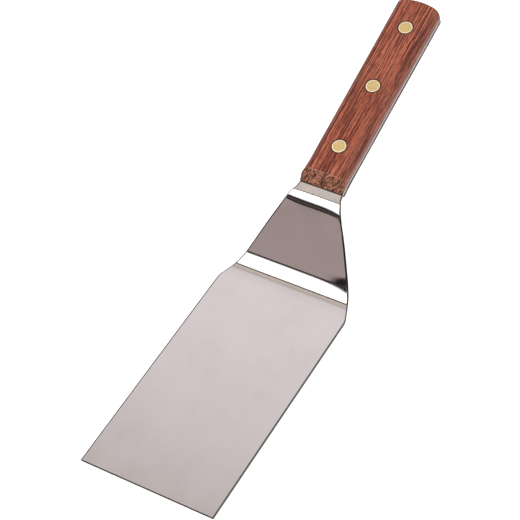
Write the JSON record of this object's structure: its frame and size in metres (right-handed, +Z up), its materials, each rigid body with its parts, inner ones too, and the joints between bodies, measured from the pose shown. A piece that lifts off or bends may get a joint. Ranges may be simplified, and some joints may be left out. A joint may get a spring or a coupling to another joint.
{
  "type": "grill spatula",
  "caption": "Wide flat stainless blade with a steep tapering neck and a full tang between riveted hardwood handle scales, for turning and lifting food on a grill.",
  "frame": {"origin": "the middle of the bounding box's underside, on the surface that the blade lies on", "axes": "+X along the tool towards the blade's front edge, +Y across the blade, +Z up from the blade"},
  "size_m": [0.3036, 0.0762, 0.0746],
  "materials": {
    "stainless_steel": "satin polished",
    "rosewood": "oiled, fine open grain",
    "brass": "sanded flush"
  },
  "bodies": {
    "root": {"blade_and_tang": "stainless_steel", "upper_scale": "rosewood", "lower_scale": "rosewood", "front_rivet_pin": "brass", "front_rivet_tube": "brass", "middle_rivet_pin": "brass", "middle_rivet_tube": "brass", "rear_rivet_pin": "brass", "rear_rivet_tube": "brass"}
  },
  "joints": []
}
